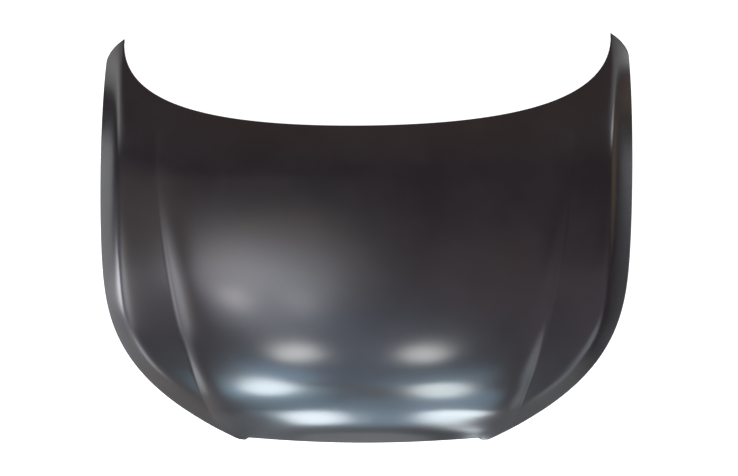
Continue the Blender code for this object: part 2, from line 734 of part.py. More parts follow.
def weld_nut(name, frame, finish):
    """Hexagon nut with a plain bore, standing on its plate."""
    bm = bmesh.new()
    rim, edges = add_loop(bm, [(*p, 0) for p in hexagon(NUT_FLATS)])
    bore, more = add_loop(bm, [(*p, 0) for p in circle_points(BOLT + 2 * CLEARANCE, 12)])
    faces = [part for part in bmesh.ops.triangle_fill(bm, use_beauty=True, edges=edges + more,
                                                      normal=(0, 0, 1))["geom"]
             if isinstance(part, bmesh.types.BMFace)]
    grown = bmesh.ops.extrude_face_region(bm, geom=faces)["geom"]
    top = [part for part in grown if isinstance(part, bmesh.types.BMVert)]
    bmesh.ops.translate(bm, vec=(0, 0, NUT_HEIGHT), verts=top)
    pierced(name, bm, frame, finish)


def hinge_hardware(side, word, finish):
    frame = pad_frame(*hinge_place(side))
    size = [length - 2 * PLATE_INSET for length in HINGE_PAD]
    holes = pair(HINGE_HOLE_PITCH, True)
    plate(f"hinge_reinforcement_{word}", frame, size, HINGE_PLATE_GAUGE, CLEARANCE,
          [(*hole, BOLT_HOLE) for hole in holes], finish)
    top = 2 * CLEARANCE + HINGE_PLATE_GAUGE
    for hole, end in zip(holes, ("front", "rear")):
        weld_nut(f"hinge_weld_nut_{word}_{end}", frame @ Matrix.Translation((*hole, top)), finish)


def latch_hardware(steel, black):
    """Reinforcement above the pad, striker plate and wire below it, and the bolts through both."""
    frame = pad_frame(*latch_place())
    holes = pair(LATCH_HOLE_PITCH, False)
    size = [length - 2 * PLATE_INSET for length in LATCH_PAD]
    drilled = [(*hole, BOLT_HOLE) for hole in holes]
    plate("latch_reinforcement", frame, size, LATCH_PLATE_GAUGE, CLEARANCE, drilled, black)
    top = 2 * CLEARANCE + LATCH_PLATE_GAUGE
    under_pad = -FRAME_GAUGE - CLEARANCE
    plate("striker_plate", frame, STRIKER_PLATE, STRIKER_GAUGE, under_pad - STRIKER_GAUGE, drilled, steel)
    for hole, word in zip(holes, ("left", "right")):
        weld_nut(f"latch_weld_nut_{word}", frame @ Matrix.Translation((*hole, top)), black)
        start = under_pad - STRIKER_GAUGE - CLEARANCE
        striker_bolt(f"striker_bolt_{word}", frame @ Matrix.Translation((*hole, start)), top - start, steel)
    striker_loop(frame @ Matrix.Translation((0, 0, under_pad - STRIKER_GAUGE - CLEARANCE)), steel)


def striker_bolt(name, frame, grip, finish):
    """Hexagon bolt pointing up, its head's top face at the frame's origin."""
    bm = bmesh.new()
    bmesh.ops.create_circle(bm, cap_ends=True, segments=12, radius=BOLT / 2)
    face = bm.faces[:] if bm.faces else []
    grown = bmesh.ops.extrude_face_region(bm, geom=face)["geom"]
    tips = [part for part in grown if isinstance(part, bmesh.types.BMVert)]
    bmesh.ops.translate(bm, vec=(0, 0, grip + NUT_HEIGHT), verts=tips)
    foot = [vert for vert in bm.verts if vert.co.z < NUT_HEIGHT / 2]
    bmesh.ops.delete(bm, geom=[f for f in bm.faces if all(v in foot for v in f.verts)], context="FACES_ONLY")
    edges = [edge for edge in bm.edges if all(v in foot for v in edge.verts)]
    head, more = add_loop(bm, [(*p, 0) for p in hexagon(HEAD_FLATS)])
    bmesh.ops.triangle_fill(bm, use_beauty=True, edges=edges + more, normal=(0, 0, 1))
    low = [bm.verts.new((v.co.x, v.co.y, -HEAD_HEIGHT)) for v in head]
    join_loops(bm, head, low)
    bm.faces.new(low)
    pierced(name, bm, frame, finish)


def striker_loop(frame, finish):
    """Round wire bent to a U, its ends against the striker plate."""
    half, drop = STRIKER_SPAN / 2, STRIKER_DROP
    points = [(-half, 0)]
    for k in range(5):
        angle = math.pi + math.pi / 2 * k / 4
        points.append((-half + STRIKER_BEND * (1 + math.cos(angle)), -drop + STRIKER_BEND * (1 + math.sin(angle))))
    points += [(-x, z) for x, z in reversed(points)]
    bm = bmesh.new()
    rings = []
    for n, (x, z) in enumerate(points):
        before, after = points[max(n - 1, 0)], points[min(n + 1, len(points) - 1)]
        run = Vector((after[0] - before[0], 0, after[1] - before[1])).normalized()
        side = run.cross(Vector((0, 1, 0)))
        rings.append([bm.verts.new(Vector((x, 0, z)) + a * side + b * Vector((0, 1, 0)))
                      for a, b in circle_points(STRIKER_WIRE, 12)])
    for low, high in zip(rings, rings[1:]):
        join_loops(bm, low, high)
    bm.faces.new(rings[0])
    bm.faces.new(rings[-1])
    pierced("striker_loop", bm, frame, finish)


def prop_rod_reinforcement(finish):
    size = [length - 2 * PLATE_INSET for length in PROP_PAD]
    plate("prop_rod_reinforcement", pad_frame(*prop_place()), size, PROP_PLATE_GAUGE, CLEARANCE,
          [(0, 0, PROP_HOLE)], finish)


def mastic_dabs(finish):
    """A dab on the land at each long side of every pocket, up to the skin."""
    number = 0
    for u0, u1, v0, v1 in POCKETS:
        middle_v = np.array((v0 + v1) / 2)
        unit_u, _ = spacing(np.array((u0 + u1) / 2), middle_v)
        reach = (POCKET_WALL + LAND_WIDTH / 2) / unit_u
        for u in (u0 + reach, u1 - reach, -u0 - reach, -u1 + reach):
            number += 1
            x, y = plan(np.array(u), middle_v)
            frame = seat(x, y, LAND_DEPTH - CLEARANCE)
            foot = [frame @ Vector((px * DAB_WIDTH, py * DAB_LENGTH, 0)) for px, py in circle_points(1)]
            tops = lifted(under([p.x for p in foot], [p.y for p in foot], np.full(len(foot), SKIN_GAUGE + DAB_GAP)))
            bm = bmesh.new()
            low, high = add_loop(bm, foot)[0], add_loop(bm, tops)[0]
            join_loops(bm, low, high)
            bm.faces.new(low)
            bm.faces.new(high)
            bmesh.ops.recalc_face_normals(bm, faces=bm.faces)
            add_object(f"mastic_dab_{number:02d}", bm, finish)


def main():
    for old in list(bpy.data.objects):
        bpy.data.objects.remove(old)
    primer = material("Black primer", (0.035, 0.035, 0.038), 0.28)
    plated = material("Plated steel", (0.50, 0.50, 0.48), 0.35, 1.0)
    mastic = material("Mastic", (0.02, 0.02, 0.02), 0.75)
    outer_skin(primer)
    inner_frame(primer)
    for side, word in ((-1, "left"), (1, "right")):
        hinge_hardware(side, word, primer)
    latch_hardware(plated, primer)
    prop_rod_reinforcement(primer)
    mastic_dabs(mastic)


main()
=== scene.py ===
"""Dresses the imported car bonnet: a fine primed skin over its frame, in a soft studio.

Lengths are in metres. +X runs across the panel and +Y from its front edge towards the windscreen.
"""

import math
from typing import NamedTuple

import bmesh
import bpy
import numpy as np
from bpy.props import FloatProperty, FloatVectorProperty, IntProperty, PointerProperty
from mathutils import Matrix, Vector


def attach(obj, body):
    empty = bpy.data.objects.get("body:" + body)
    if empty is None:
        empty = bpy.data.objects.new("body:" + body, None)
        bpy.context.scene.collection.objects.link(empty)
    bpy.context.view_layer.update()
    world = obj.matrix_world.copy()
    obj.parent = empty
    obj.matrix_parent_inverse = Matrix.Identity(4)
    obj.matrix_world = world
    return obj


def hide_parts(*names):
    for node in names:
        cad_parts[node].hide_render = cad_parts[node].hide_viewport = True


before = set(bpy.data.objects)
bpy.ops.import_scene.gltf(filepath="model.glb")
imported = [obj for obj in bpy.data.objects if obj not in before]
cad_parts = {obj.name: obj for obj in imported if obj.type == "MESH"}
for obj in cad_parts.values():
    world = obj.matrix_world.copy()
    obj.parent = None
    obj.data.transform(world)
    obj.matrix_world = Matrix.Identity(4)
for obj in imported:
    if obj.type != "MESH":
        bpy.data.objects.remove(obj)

bl_info = {
    "name": "Car Bonnet",
    "version": (1, 0, 0),
    "blender": (4, 5, 0),
    "location": "View3D > Sidebar > Bonnet",
    "description": "Models a hemmed steel bonnet in black primer",
    "category": "Add Mesh",
}


# Millimetres
SENSOR_WIDTH = 36

PRIMER = "Black primer"

# A Mix node's sockets share their names between its kinds, so its colour ones go by number
MIX_A, MIX_B, MIX_RESULT = 6, 7, 2


def metres(name, description, default):
    return FloatProperty(name=name, description=description, default=default,
                         unit="LENGTH", subtype="DISTANCE")


def degrees(name, description, default):
    return FloatProperty(name=name, description=description, default=math.radians(default),
                         subtype="ANGLE")


def number(name, description, default):
    return FloatProperty(name=name, description=description, default=default)


def share(name, description, default):
    return FloatProperty(name=name, description=description, default=default,
                         min=0, max=1, subtype="FACTOR")


def count(name, description, default):
    return IntProperty(name=name, description=description, default=default, min=1)


def colour(name, description, default):
    return FloatVectorProperty(name=name, description=description, default=default,
                               size=3, min=0, max=1, subtype="COLOR")


class OutlineSettings(bpy.types.PropertyGroup):
    """The panel's edge in plan."""
    length: metres("Length", "From the middle of the front edge to the ear tips", 1.160)
    centre_length: metres("Centre length", "From the front to the windscreen edge, at the middle", 0.849)
    half_width: metres("Half width", "From the centre line to the widest point", 0.750)
    front_half: metres("Front half", "From the centre line to a front corner", 0.328)
    front_bow: metres("Front bow", "How far the front edge's middle stands ahead of its corners", 0.0156)
    tooth_depth: metres("Tooth depth", "Step forward at each front corner", 0.0063)
    tooth_length: metres("Tooth length", "Width of that step", 0.028)
    tip_half: metres("Tip half", "From the centre line to an ear tip", 0.701)
    ear_cut: metres("Ear cut", "From the widest point to the ear tip, along the panel", 0.073)
    lamp_length: metres("Lamp length", "From a front corner to the lamp's rear, along the panel", 0.474)
    lamp_inset: metres("Lamp inset", "From that point to the widest line", 0.037)
    corner_angle: degrees("Corner angle", "Edge's heading at the front corner", 23.8)
    lamp_angle: degrees("Lamp angle", "Edge's heading at the rear of the lamp", 83.2)
    ear_angle: degrees("Ear angle", "Edge's heading at the ear tip", 150)
    tip_angle: degrees("Tip angle", "Windscreen edge's heading at the ear tip", 88)
    corner_pull: metres("Corner pull", "Curve handle at the front corner", 0.361)
    lamp_pull_front: metres("Lamp pull front", "Curve handle ahead of the lamp's rear", 0.163)
    lamp_pull_rear: metres("Lamp pull rear", "Curve handle behind the lamp's rear", 0.120)
    widest_pull: metres("Widest pull", "Curve handle ahead of the widest point", 0.160)
    ear_pull_low: metres("Ear pull low", "Curve handle at the ear's start", 0.025)
    ear_pull_tip: metres("Ear pull tip", "Curve handle at the ear's tip", 0.034)
    tip_pull: metres("Tip pull", "Windscreen edge's handle at the ear tip", 0.2585)
    centre_pull: metres("Centre pull", "Windscreen edge's handle at the centre line", 0.310)


class CrownSettings(bpy.types.PropertyGroup):
    """How the skin rises over its outline."""
    front_height: metres("Front height", "Height of the front edge's middle", 0.004)
    lip_slope: number("Lip slope", "Extra rise per run at the front edge", 0.90)
    lip_reach: metres("Lip reach", "Where the lip's rise ends", 0.030)
    lip_softness: metres("Lip softness", "Rounding of that end", 0.020)
    nose_slope: number("Nose slope", "Extra rise per run over the nose", 0.42)
    nose_reach: metres("Nose reach", "Where the nose's rise ends", 0.130)
    nose_softness: metres("Nose softness", "Rounding of that end", 0.100)
    crown_rise: metres("Crown rise", "Rise of the main arch", 0.045)
    crown_peak: metres("Crown peak", "Distance of its top from the front edge", 0.620)
    crown_power: number("Crown power", "How late the panel falls towards its sides", 2.2)
    ear_fall: metres("Ear fall", "Drop towards the ear tips", 0.110)
    ear_fall_start: metres("Ear fall start", "Where that drop begins", 0.690)
    side_rise: metres("Side rise", "Height of the side edges' arch", 0.047)
    shoulder_slope: number("Shoulder slope", "Fall per run outboard of the shoulder", 0.70)
    shoulder_front: number("Shoulder front", "The same at the front corners", 0.21)
    shoulder_ear: number("Shoulder ear", "The same at the ear tips", 0.30)
    shoulder_width: metres("Shoulder width", "Width of the falling flank", 0.060)
    shoulder_corner_width: metres("Shoulder corner width", "The same beside the lamps", 0.038)
    shoulder_front_width: metres("Shoulder front width", "The same at the front corners", 0.020)
    shoulder_softness: metres("Shoulder softness", "Rounding of the shoulder crease", 0.012)
    bulge_rise: metres("Bulge rise", "Height of the raised middle", 0.010)
    bulge_run: metres("Bulge run", "Distance over which it rises", 0.026)
    bulge_blend: metres("Bulge blend", "Distance over which its front settles to the middle", 0.150)
    bulge_starts: share("Bulge starts", "Where it starts, as a share of the side's length", 0.020)
    bulge_grows: share("Bulge grows", "Share of the length over which its middle rises", 0.100)
    crease_grows: share("Crease grows", "Share of the length over which its creases deepen", 0.045)
    bulge_ends: share("Bulge ends", "Where it has faded out, as a share of the length", 0.82)
    bulge_fades: share("Bulge fades", "Share of the length over which it fades", 0.50)
    crease_front: metres("Crease front", "Half width between the creases at the front", 0.368)
    crease_rear: metres("Crease rear", "The same at the windscreen edge", 0.572)
    crease_angle: degrees("Crease angle", "A crease's heading at the front", 56)
    crease_pull_front: metres("Crease pull front", "Curve handle at the crease's front", 0.214)
    crease_pull_rear: metres("Crease pull rear", "Curve handle at the crease's rear", 0.144)


class SheetSettings(bpy.types.PropertyGroup):
    """The sheet, its hem and how finely it is drawn."""
    gauge: metres("Gauge", "Thickness of the sheet", 0.0007)
    hem_gap: metres("Hem gap", "Adhesive on each side of the frame's flange", 0.0007)
    hem_width: metres("Hem width", "Width of the return flange", 0.011)
    hem_opens: metres("Hem opens", "Room below which the hem opens to a short flange", 0.006)
    hem_share: share("Hem share", "Most of the room that the return flange takes", 0.60)
    rows: count("Rows", "Rows along the panel", 132)
    flat_columns: count("Flat columns", "Columns over half the raised middle", 34)
    bulge_columns: count("Bulge columns", "Columns over the bulge's side", 10)
    side_columns: count("Side columns", "Columns between the crease and the shoulder", 16)
    edge_columns: count("Edge columns", "Columns over the flank", 14)
    fold_steps: count("Fold steps", "Steps round the fold", 8)


class FinishSettings(bpy.types.PropertyGroup):
    """Colours and gloss."""
    primer: colour("Primer", "Colour of the black primer", (0.0120, 0.0090, 0.0100))
    primer_roughness: share("Primer roughness", "Roughness under the primer's skin", 0.34)
    coat_roughness: share("Coat roughness", "Roughness of the primer's skin", 0.17)
    plated: colour("Plated steel", "Colour of the plated fittings", (0.50, 0.51, 0.50))
    plated_cloud: colour("Plating cloud", "Colour of the clouds in the plating", (0.56, 0.52, 0.40))
    mastic: colour("Mastic", "Colour of the mastic dabs", (0.03, 0.03, 0.032))


class StudioSettings(bpy.types.PropertyGroup):
    """Camera, floor and light."""
    azimuth: degrees("Azimuth", "Camera's turn round the panel", 8.98)
    elevation: degrees("Elevation", "Camera's height above the horizon", 75.34)
    roll: degrees("Roll", "Camera's turn about its own axis", -9.02)
    distance: metres("Distance", "Camera to the point it looks at", 3.141)
    aim: FloatVectorProperty(name="Aim", description="Point that the camera looks at",
                             default=(0.0151, -0.0366, 0.0632), unit="LENGTH", subtype="TRANSLATION")
    lens: number("Lens", "Focal length in millimetres", 56.73)
    floor: colour("Floor", "Colour of the floor", (0.35, 0.35, 0.35))
    floor_glow: share("Floor glow", "Light that the floor gives off, to read as a white sweep", 0.95)
    floor_half: metres("Floor half", "From the middle of the floor to its edge", 15)
    floor_gap: metres("Floor gap", "From the floor to the panel's lowest point", 0.0005)
    ceiling: metres("Ceiling", "Height of the lamps", 2.6)
    lamp_core: share("Lamp core", "Inner oval's size as a share of the lamp's", 0.7)


class Glow(NamedTuple):
    """A soft round light far away, with all its angles in degrees.

    The azimuth is counted from the front towards +X and the elevation from the horizon. The light is
    its brightness in red, green and blue, full within the core's angle and gone at the edge's.
    """
    azimuth: float
    elevation: float
    core: float
    edge: float
    light: tuple


class Lamp(NamedTuple):
    """A flat oval lamp at the ceiling, turned in degrees, that the camera doesn't see.

    The light is its brightness in red, green and blue.
    """
    x: float
    y: float
    width: float
    depth: float
    turn: float
    light: tuple


GLOWS = {
    "rear left middle": Glow(-132, 22, 1, 11, (1.91, 1.94, 1.84)),
    "rear left high": Glow(-131, 76, 5, 10, (1.39, 1.24, 1.13)),
    "rear left high 2": Glow(-125, 68, 1, 6, (1.09, 1.08, 1.14)),
    "rear left high 3": Glow(-120, 78, 2, 8, (1.03, 1.26, 1.43)),
    "left high": Glow(-110, 71, 3, 8, (1.72, 1.52, 1.49)),
    "left high 2": Glow(-103, 53, 5, 24, (0.37, 0.32, 0.28)),
    "left high 3": Glow(-99, 76, 6, 11, (1.22, 1.19, 1.34)),
    "left high 4": Glow(-99, 75, 1, 12, (0.71, 0.90, 1.22)),
    "left low": Glow(-89, 11, 2, 11, (10.60, 10.40, 10.80)),
    "left middle": Glow(-91, 50, 1, 15, (1.77, 1.82, 1.88)),
    "left middle 2": Glow(-80, 22, 3, 29, (1.14, 1.18, 1.47)),
    "front left low": Glow(-54, 14, 3, 31, (1.17, 1.14, 1.05)),
    "front left high": Glow(-33, 63, 3, 8, (2.06, 3.42, 4.80)),
    "front left middle": Glow(-26, 47, 3, 14, (2.08, 3.72, 4.91)),
    "front low": Glow(-15, 0, 4, 26, (0.96, 1.17, 1.18)),
    "front high": Glow(-12, 76, 4, 19, (0.40, 0.65, 0.97)),
    "front middle": Glow(-6, 30, 4, 17, (0.87, 1.95, 2.85)),
    "front middle 2": Glow(16, 41, 2, 12, (1.51, 2.80, 3.85)),
    "front high 2": Glow(17, 60, 1, 12, (1.36, 2.30, 3.04)),
    "front right low": Glow(37, 8, 2, 24, (0.83, 0.90, 0.86)),
    "front right middle": Glow(58, 33, 3, 18, (0.52, 0.61, 0.69)),
    "right high": Glow(77, 51, 8, 24, (0.47, 0.41, 0.46)),
    "rear right middle": Glow(113, 23, 3, 18, (0.78, 0.56, 0.36)),
    "rear right high": Glow(114, 75, 3, 14, (0.39, 0.28, 0.27)),
    "rear right middle 2": Glow(134, 32, 1, 6, (6.60, 6.90, 6.90)),
    "rear low": Glow(168, 12, 12, 60, (0.27, 0.19, 0.17)),
    "left ear": Glow(-139, 28, 3, 12, (1.00, 1.00, 1.02)),
    "right ear": Glow(144, 31, 3, 11, (0.85, 0.90, 0.94)),
    "left strip": Glow(-86, 43, 5, 15, (2.40, 2.35, 2.50)),
    "left foot": Glow(-57, 23, 2, 11, (3.00, 3.40, 3.60)),
    "right strip": Glow(58, 33, 3, 14, (1.50, 1.60, 1.80)),
    "right foot": Glow(42, 22, 2, 11, (1.20, 1.40, 1.50)),
}
LAMPS = {
    "near left": Lamp(-0.655, -0.86, 0.46, 0.30, 32, (33, 33, 32)),
    "middle left": Lamp(-1.175, -2.29, 0.70, 1.35, -13, (35, 38, 39)),
    "far left": Lamp(-1.07, -5.70, 1.05, 3.00, -16, (43, 46, 48)),
    "near right": Lamp(0.39, -0.88, 0.43, 0.30, -33, (31, 31, 30)),
    "middle right": Lamp(0.695, -2.46, 0.68, 1.35, 6, (30, 32, 32)),
    "far right": Lamp(1.45, -6.16, 1.25, 3.80, 19, (40, 45, 48)),
    "side, outer": Lamp(-1.06, -0.20, 0.24, 0.22, 0, (20, 19, 19)),
    "side, inner": Lamp(-0.54, -0.17, 0.24, 0.22, 0, (6, 6.3, 6)),
}


def heading(turn):
    """Unit step in plan at an angle from the X axis."""
    return np.array([math.cos(turn), math.sin(turn)])


def bezier(start, start_handle, end_handle, end, samples=1200):
    """Points along a cubic curve."""
    t = np.linspace(0, 1, samples)[:, None]
    s = 1 - t
    return s ** 3 * start + 3 * s * s * t * start_handle + 3 * s * t * t * end_handle + t ** 3 * end


def across(curve, y):
    """Half width of a plan curve at y."""
    return np.interp(y, curve[:, 1], curve[:, 0])


def squareness(curve, y):
    """Cosine of the curve's lean from the Y axis."""
    lean = np.gradient(curve[:, 0], curve[:, 1])
    return 1 / np.sqrt(1 + np.interp(y, curve[:, 1], lean) ** 2)


def bend(distance, softness):
    """Zero before a corner and the distance past it, rounded over the softness."""
    return (distance + np.sqrt(distance ** 2 + softness ** 2)) / 2


def ramp(distance, reach, softness):
    """The distance up to the reach and level past it, rounded over the softness."""
    return bend(reach, softness) - bend(reach - distance, softness)


def ease(t):
    """Smooth rise from 0 to 1."""
    t = np.clip(t, 0, 1)
    return t * t * (3 - 2 * t)


def parabola(rise, t):
    """From 0 up to the rise half way, and back."""
    return 4 * rise * t * (1 - t)


class Stretch(NamedTuple):
    """Part of the side over which one value passes into the next, as shares of the side's length."""
    start: float
    run: float

    def passed(self, along):
        return ease((along - self.start) / self.run)


FLANK_WIDENS_AT_CORNER = Stretch(0, 0.10)
FLANK_WIDENS_PAST_LAMP = Stretch(0.16, 0.24)
FLANK_NARROWS_TO_EAR = Stretch(0.60, 0.40)
SHOULDER_STEEPENS = Stretch(0, 0.25)
SHOULDER_FLATTENS_TO_EAR = Stretch(0.65, 0.35)

# How far the flank runs on past its ends, in front bows ahead and in ear cuts behind
FRONT_RUN_ON, REAR_RUN_ON = 3, 2

# How much the mesh's rows draw together at the front and rear
ROW_CROWDING = 0.55

# Where the mesh's columns may lie, in u, and how they are looked for
COLUMN_GAP = 0.02
SHOULDER_LIMIT = 0.985
SEARCH_START = 0.2
HALVINGS = 30

# The bulge's side is drawn over this many of its runs
BULGE_SIDE_RUNS = 2

# How far inboard of one rim point another lies, at the least, to limit the room there
LEAST_LEAD = 1e-6


class Form:
    """The bonnet's outer surface as a height over its plan."""

    def __init__(self, outline, crown):
        self.outline, self.crown = outline, crown
        self.front_y, self.tip_y = -outline.length / 2, outline.length / 2
        self.rear_y = self.front_y + outline.centre_length
        self.nick_y = self.front_y + outline.front_bow - outline.tooth_depth
        self.draw_side()
        self.draw_crease()

    def draw_side(self):
        """Draws the side edge, and the flank that runs on past both of its ends."""
        outline = self.outline
        nick = np.array([outline.front_half, self.nick_y])
        lamp = np.array([outline.half_width - outline.lamp_inset, self.nick_y + outline.lamp_length])
        widest = np.array([outline.half_width, self.tip_y - outline.ear_cut])
        tip = np.array([outline.tip_half, self.tip_y])
        lamp_side = bezier(nick, nick + outline.corner_pull * heading(outline.corner_angle),
                           lamp - outline.lamp_pull_front * heading(outline.lamp_angle), lamp)
        wing_side = bezier(lamp, lamp + outline.lamp_pull_rear * heading(outline.lamp_angle),
                           widest - np.array([0, outline.widest_pull]), widest)
        ear = bezier(widest, widest + np.array([0, outline.ear_pull_low]),
                     tip - outline.ear_pull_tip * heading(outline.ear_angle), tip)
        before = nick - FRONT_RUN_ON * outline.front_bow * heading(outline.corner_angle)
        beyond = widest + np.array([0, REAR_RUN_ON * outline.ear_cut])
        self.tip, self.widest = tip, widest
        self.tip_handle = tip - outline.tip_pull * heading(outline.tip_angle)
        self.edge = np.vstack([lamp_side, wing_side[1:], ear[1:]])
        self.flank = np.vstack([before, lamp_side, wing_side[1:], beyond])

    def draw_crease(self):
        """Draws the bulge's crease, run on past both of its ends."""
        crown = self.crown
        start = np.array([crown.crease_front, self.nick_y])
        end = np.array([crown.crease_rear, self.rear_y])
        curve = bezier(start, start + crown.crease_pull_front * heading(crown.crease_angle),
                       end - np.array([0, crown.crease_pull_rear]), end)
        before = start - self.outline.front_bow * heading(crown.crease_angle)
        self.crease = np.vstack([before, curve, [crown.crease_rear, self.tip_y]])

    def along(self, y):
        """0 at the front corners and 1 at the ear tips."""
        return (y - self.nick_y) / (self.tip_y - self.nick_y)

    def centre_height(self, y):
        """Height of the surface over the centre line."""
        crown = self.crown
        back = y - self.front_y
        lip = crown.lip_slope * ramp(back, crown.lip_reach, crown.lip_softness)
        nose = crown.nose_slope * ramp(back, crown.nose_reach, crown.nose_softness)
        arch = crown.crown_rise * (1 - (1 - back / crown.crown_peak) ** 2)
        falling = self.outline.length - crown.ear_fall_start
        fall = crown.ear_fall * ease((back - crown.ear_fall_start) / falling)
        return crown.front_height + lip + nose + arch - fall

    def shoulder_half(self, y):
        """Half width of the shoulder crease at y."""
        crown, along = self.crown, self.along(y)
        corner, middle = crown.shoulder_corner_width, crown.shoulder_width
        ear = self.outline.half_width - self.outline.tip_half
        width = crown.shoulder_front_width
        width = width + (corner - width) * FLANK_WIDENS_AT_CORNER.passed(along)
        width = width + (middle - corner) * FLANK_WIDENS_PAST_LAMP.passed(along)
        width = width + (ear - middle) * FLANK_NARROWS_TO_EAR.passed(along)
        return across(self.flank, y) - width / squareness(self.flank, y)

    def shoulder_drop(self, x, y):
        """How far the surface has fallen outboard of the shoulder crease."""
        crown, along = self.crown, self.along(y)
        slope = crown.shoulder_front
        slope = slope + (crown.shoulder_slope - slope) * SHOULDER_STEEPENS.passed(along)
        slope = slope + (crown.shoulder_ear - crown.shoulder_slope) * SHOULDER_FLATTENS_TO_EAR.passed(along)
        outboard = (x - self.shoulder_half(y)) * squareness(self.flank, y)
        return slope * bend(outboard, crown.shoulder_softness)

    def bulge(self, x, y):
        """Height of the raised middle."""
        crown, along = self.crown, self.along(y)
        inside = np.maximum((across(self.crease, y) - x) * squareness(self.crease, y), 0)
        middle = ease((along - crown.bulge_starts) / crown.bulge_grows)
        step = ease((along - crown.bulge_starts) / crown.crease_grows)
        shape = step * (1 - np.exp(-inside / crown.bulge_run))
        shape = shape + (middle - step) * (1 - np.exp(-inside / crown.bulge_blend))
        return crown.bulge_rise * ease((crown.bulge_ends - along) / crown.bulge_fades) * shape

    def height(self, x, y):
        """Height of the surface at a plan point, before the panel is set down."""
        x = np.abs(x)
        side = across(self.flank, y)
        reach = (y - self.nick_y) / (self.widest[1] - self.nick_y)
        edge = parabola(self.crown.side_rise, reach) + self.shoulder_drop(side, y)
        weight = (x / side) ** self.crown.crown_power
        return (self.centre_height(y) * (1 - weight) + edge * weight
                - self.shoulder_drop(x, y) + self.bulge(x, y))

    def normal(self, x, y, step=0.0005):
        """Unit normals, from the slopes over a small step to each side."""
        slope_x = (self.height(x + step, y) - self.height(x - step, y)) / (2 * step)
        slope_y = (self.height(x, y + step) - self.height(x, y - step)) / (2 * step)
        up = np.stack([-slope_x, -slope_y, np.ones_like(slope_x)], axis=-1)
        return up / np.linalg.norm(up, axis=-1, keepdims=True)

    def plan(self, u, v):
        """Plan point at u across (-1 to 1) and v along (0 at the front edge, 1 at the rear)."""
        outline = self.outline
        t = 1 - np.abs(u)
        s = 1 - t
        at_tip, by_tip, by_centre = s ** 3, 3 * s * s * t, 3 * s * t * t
        rear_x = at_tip * self.tip[0] + by_tip * self.tip_handle[0] + by_centre * outline.centre_pull
        rear_y = at_tip * self.tip[1] + by_tip * self.tip_handle[1] + (by_centre + t ** 3) * self.rear_y
        in_tooth = np.abs(u) * outline.front_half - outline.front_half + outline.tooth_length
        tooth = outline.tooth_depth * ease(in_tooth / (outline.tooth_length / 2))
        front_y = self.front_y + outline.front_bow * u * u - tooth
        side = across(self.edge, self.nick_y + (self.tip_y - self.nick_y) * v)
        swell = side - (1 - v) * outline.front_half - v * outline.tip_half
        x = (1 - v) * outline.front_half * u + v * np.sign(u) * rear_x + u * swell
        return x, (1 - v) * front_y + v * rear_y

    def surface(self, u, v):
        """Points of the surface at u and v."""
        x, y = self.plan(u, v)
        return np.stack([x, y, self.height(x, y)], axis=-1)

    def under(self, x, y, depth):
        """Points that lie a depth below the surface, square to it."""
        point = np.stack([x, y, self.height(x, y)], axis=-1)
        return point - self.normal(x, y) * np.asarray(depth)[..., None]

    def crossing(self, curve_half, v):
        """u at which the rows v meet a plan curve, by halving."""
        low, high = np.full_like(v, SEARCH_START), np.full_like(v, 1.0)
        for _ in range(HALVINGS):
            middle = (low + high) / 2
            x, y = self.plan(middle, v)
            beyond = x > curve_half(y)
            low, high = np.where(beyond, low, middle), np.where(beyond, middle, high)
        return (low + high) / 2

    def columns(self, v, spans):
        """u of every column in the rows v.

        A column lies on each crease, and one at the inboard end of the bulge's side.
        """
        run = self.crown.bulge_run * BULGE_SIDE_RUNS
        tooth = self.outline.tooth_length / self.outline.front_half
        crease = np.minimum(self.crossing(lambda y: across(self.crease, y), v), 1 - tooth / 2)
        inboard = self.crossing(lambda y: across(self.crease, y) - run / squareness(self.crease, y), v)
        inboard = np.minimum(inboard, np.minimum(crease - COLUMN_GAP, 1 - tooth))
        shoulder = np.clip(self.crossing(self.shoulder_half, v), crease + COLUMN_GAP, SHOULDER_LIMIT)
        knots = np.cumsum([0, *spans])
        index = np.arange(knots[-1] + 1)
        half = np.array([np.interp(index, knots, [0, *at, 1]) for at in zip(inboard, crease, shoulder)])
        return np.hstack([-half[:, :0:-1], half])

    def grid(self, sheet):
        """u of the mesh's columns in each row, and v of its rows."""
        t = np.linspace(0, 1, sheet.rows + 1)
        v = t - ROW_CROWDING * np.sin(2 * math.pi * t) / (2 * math.pi)
        spans = (sheet.flat_columns, sheet.bulge_columns, sheet.side_columns, sheet.edge_columns)
        return self.columns(v, spans), v


def border_places(rows, columns):
    """Row and column of each point on a grid's border, anticlockwise from the front left corner."""
    front = [(0, i) for i in range(columns + 1)]
    right = [(j, columns) for j in range(1, rows)]
    rear = [(rows, i) for i in range(columns, -1, -1)]
    left = [(j, 0) for j in range(rows - 1, 0, -1)]
    return front + right + rear + left


